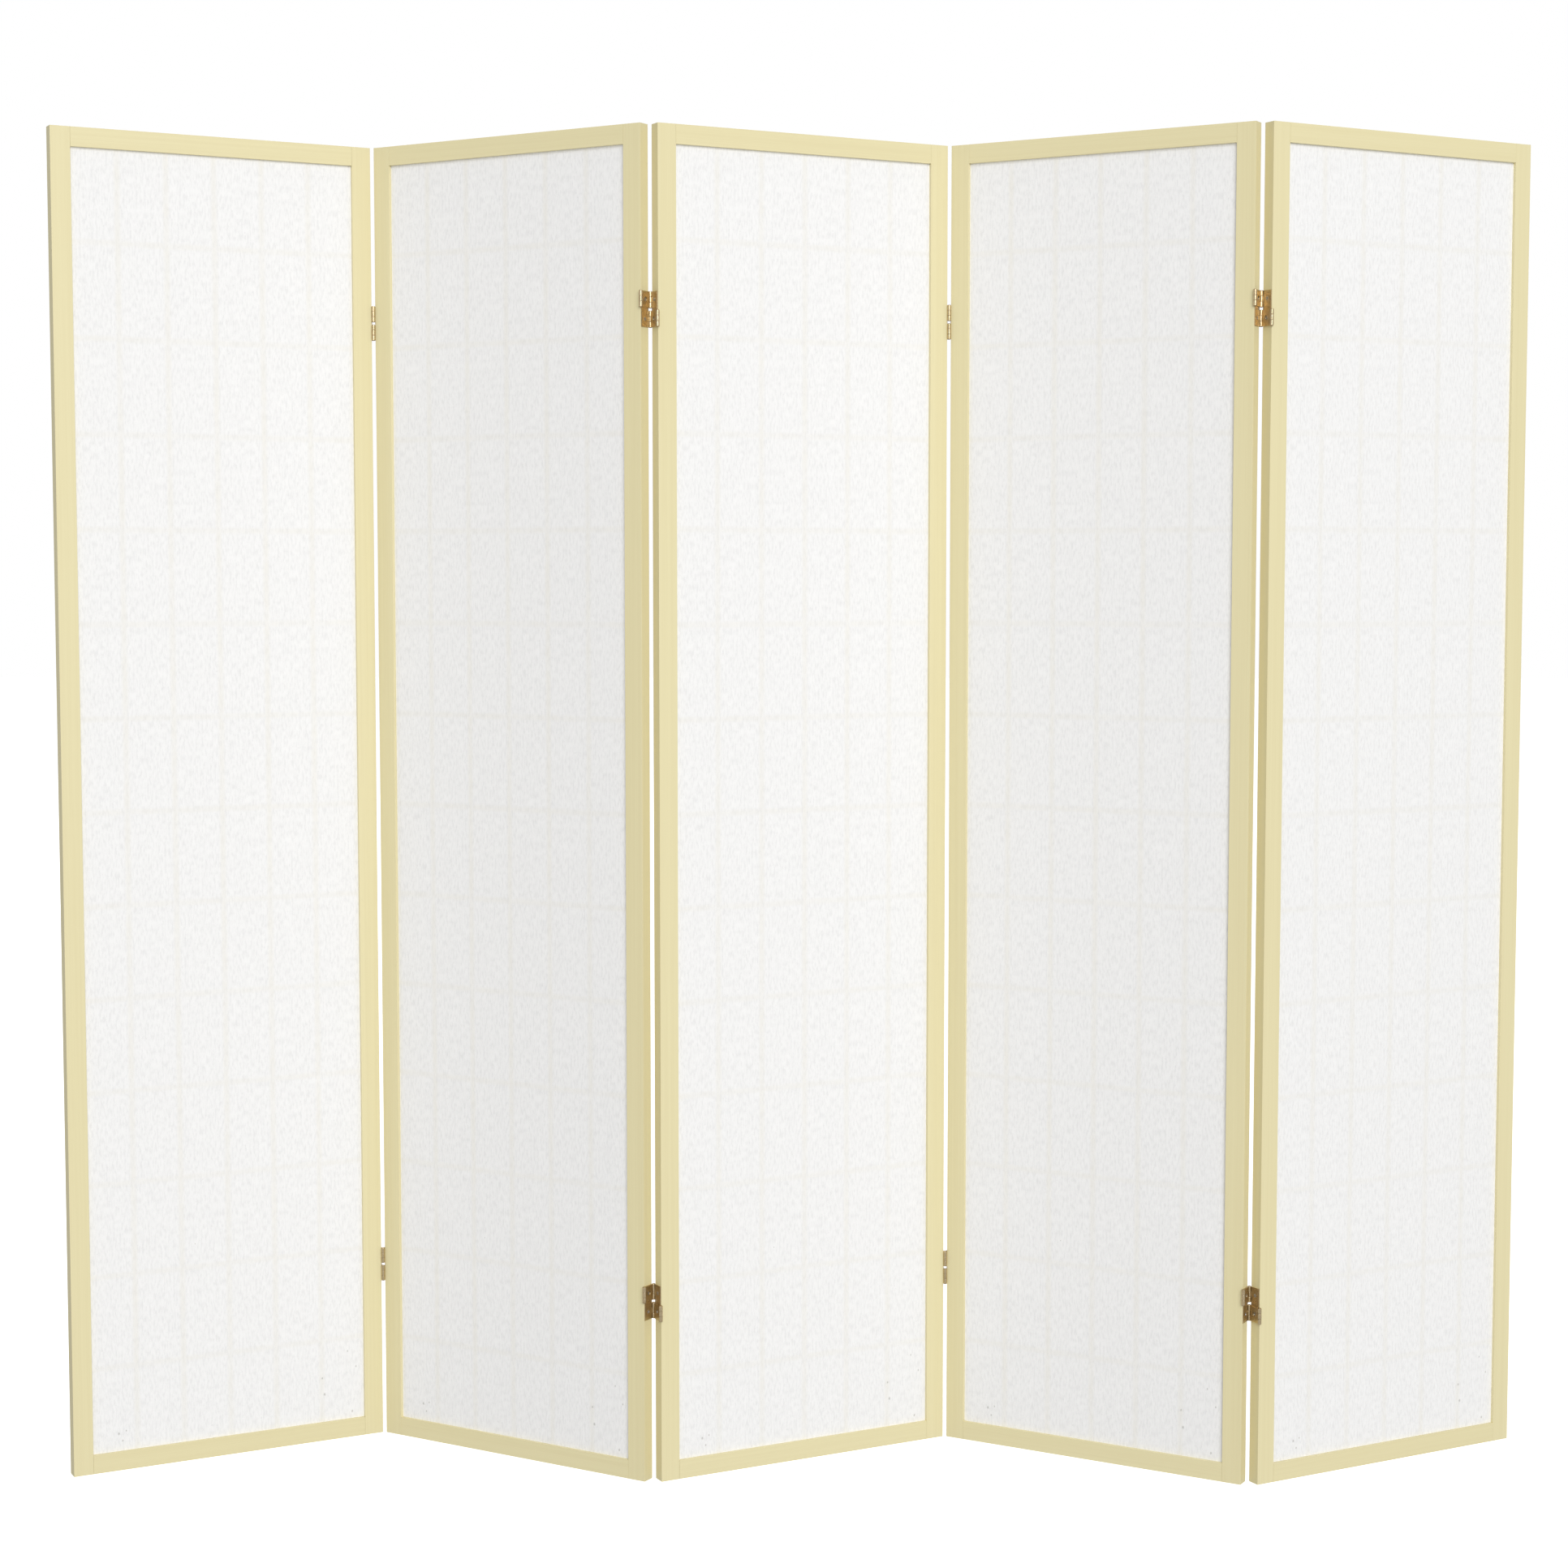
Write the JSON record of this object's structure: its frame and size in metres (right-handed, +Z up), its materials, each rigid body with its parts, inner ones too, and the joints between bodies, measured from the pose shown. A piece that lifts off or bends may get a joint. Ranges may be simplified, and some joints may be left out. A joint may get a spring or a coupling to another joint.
{
  "type": "folding shoji screen",
  "caption": "Free-standing folding screen of wooden frames with paper on a fine lattice, joined by brass hinges that fold both ways.",
  "frame": {"origin": "on the floor, under the middle of panel 3, half way along it and half way through its thickness", "axes": "+X along the screen to the right as seen from the front, +Y to its back (the lattice side), +Z up"},
  "size_m": [1.9569, 0.2433, 1.778],
  "materials": {
    "frame": "satin",
    "lattice": "satin",
    "paper": "matte",
    "hinge": "satin",
    "pin": "satin",
    "screw": "satin"
  },
  "bodies": {
    "panel_1": {"left_stile_1": "frame", "right_stile_1": "frame", "top_rail_1": "frame", "bottom_rail_1": "frame", "lattice_uprights_1": "lattice", "lattice_crossbars_1": "lattice", "paper_1": "paper", "hinge_links_1": "hinge", "hinge_pins_1": "pin", "hinge_screws_1": "screw", "right_leaves_1": "hinge"},
    "panel_2": {"left_stile_2": "frame", "right_stile_2": "frame", "top_rail_2": "frame", "bottom_rail_2": "frame", "lattice_uprights_2": "lattice", "lattice_crossbars_2": "lattice", "paper_2": "paper", "hinge_links_2": "hinge", "hinge_pins_2": "pin", "hinge_screws_2": "screw", "left_leaves_2": "hinge", "right_leaves_2": "hinge"},
    "panel_3": {"left_stile_3": "frame", "right_stile_3": "frame", "top_rail_3": "frame", "bottom_rail_3": "frame", "lattice_uprights_3": "lattice", "lattice_crossbars_3": "lattice", "paper_3": "paper", "hinge_links_3": "hinge", "hinge_pins_3": "pin", "hinge_screws_3": "screw", "left_leaves_3": "hinge", "right_leaves_3": "hinge"},
    "panel_4": {"left_stile_4": "frame", "right_stile_4": "frame", "top_rail_4": "frame", "bottom_rail_4": "frame", "lattice_uprights_4": "lattice", "lattice_crossbars_4": "lattice", "paper_4": "paper", "hinge_links_4": "hinge", "hinge_pins_4": "pin", "hinge_screws_4": "screw", "left_leaves_4": "hinge", "right_leaves_4": "hinge"},
    "panel_5": {"left_stile_5": "frame", "right_stile_5": "frame", "top_rail_5": "frame", "bottom_rail_5": "frame", "lattice_uprights_5": "lattice", "lattice_crossbars_5": "lattice", "paper_5": "paper", "hinge_links_5": "hinge", "hinge_pins_5": "pin", "hinge_screws_5": "screw", "left_leaves_5": "hinge"}
  },
  "joints": [
    {"name": "fold_2_3", "type": "hinge", "parent": "panel_3", "child": "panel_2", "pos_m": [-0.19609, -0.09682, 0.889], "axis": [0, 0, -1], "range_deg": [-58.4, 120.6]},
    {"name": "fold_1_2", "type": "hinge", "parent": "panel_2", "child": "panel_1", "pos_m": [-0.58826, 0.09682, 0.889], "axis": [0, 0, 1], "range_deg": [-58.4, 120.6]},
    {"name": "fold_3_4", "type": "hinge", "parent": "panel_3", "child": "panel_4", "pos_m": [0.19609, 0.09682, 0.889], "axis": [0, 0, -1], "range_deg": [-57.4, 121.6]},
    {"name": "fold_4_5", "type": "hinge", "parent": "panel_4", "child": "panel_5", "pos_m": [0.59158, -0.08994, 0.889], "axis": [0, 0, 1], "range_deg": [-58, 121]}
  ],
  "couplings": [
    {"joint": "fold_1_2", "follows": "fold_2_3", "ratio": 1}
  ]
}
